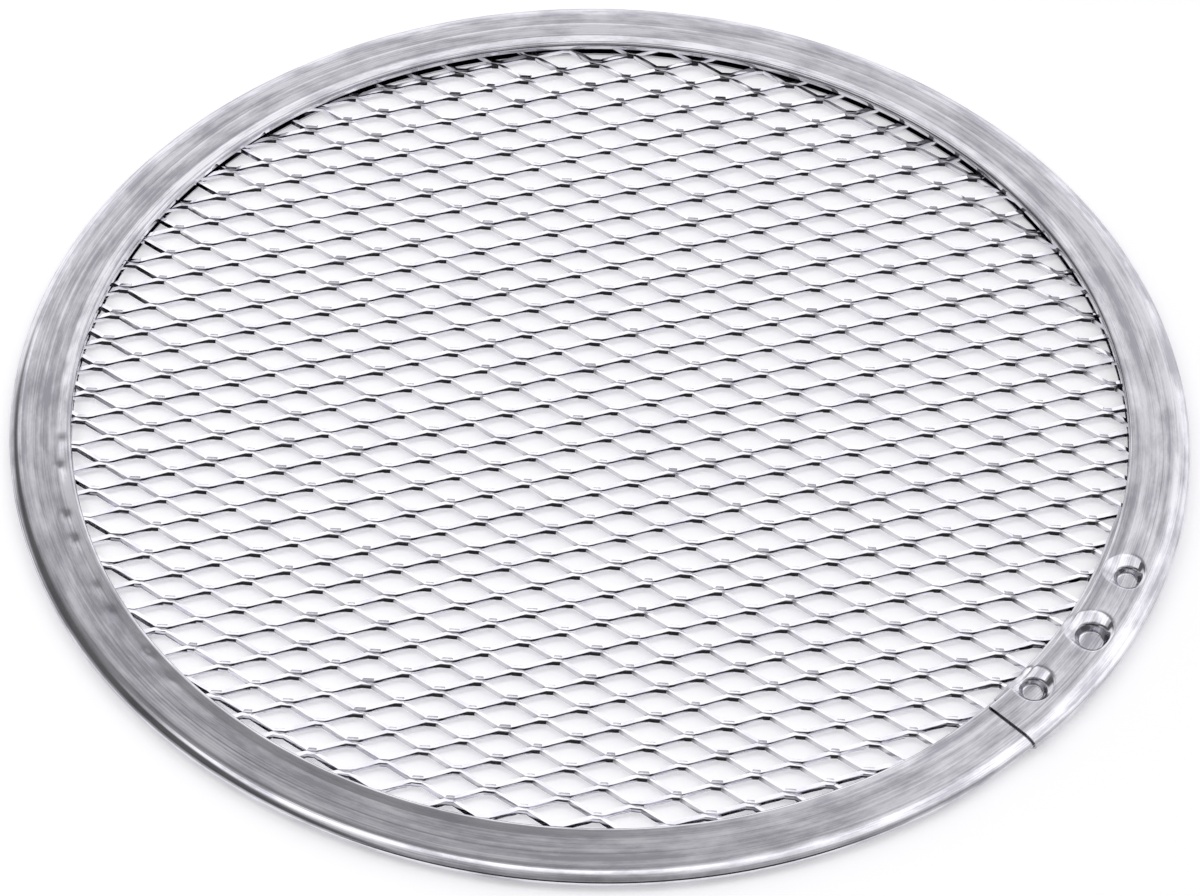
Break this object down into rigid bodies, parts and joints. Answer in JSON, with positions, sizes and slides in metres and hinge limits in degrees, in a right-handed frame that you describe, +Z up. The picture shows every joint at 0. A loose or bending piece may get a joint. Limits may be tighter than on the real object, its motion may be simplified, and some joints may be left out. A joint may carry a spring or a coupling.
{
  "type": "pizza screen",
  "caption": "Round flat pizza screen: an expanded aluminium mesh disc held in a rolled channel rim with a lapped, dimple-locked joint.",
  "frame": {"origin": "centre of the ring, on the surface that the screen lies on", "axes": "+Z up, out of the mesh; +Y away from the viewer and +X to the right in the picture's view"},
  "size_m": [0.2541, 0.254, 0.0037],
  "materials": {
    "rim_strip": "mill finish, lightly rubbed",
    "expanded_sheet": "bright mill finish"
  },
  "bodies": {
    "root": {"rim_channel": "rim_strip", "mesh_disc": "expanded_sheet"}
  },
  "joints": []
}
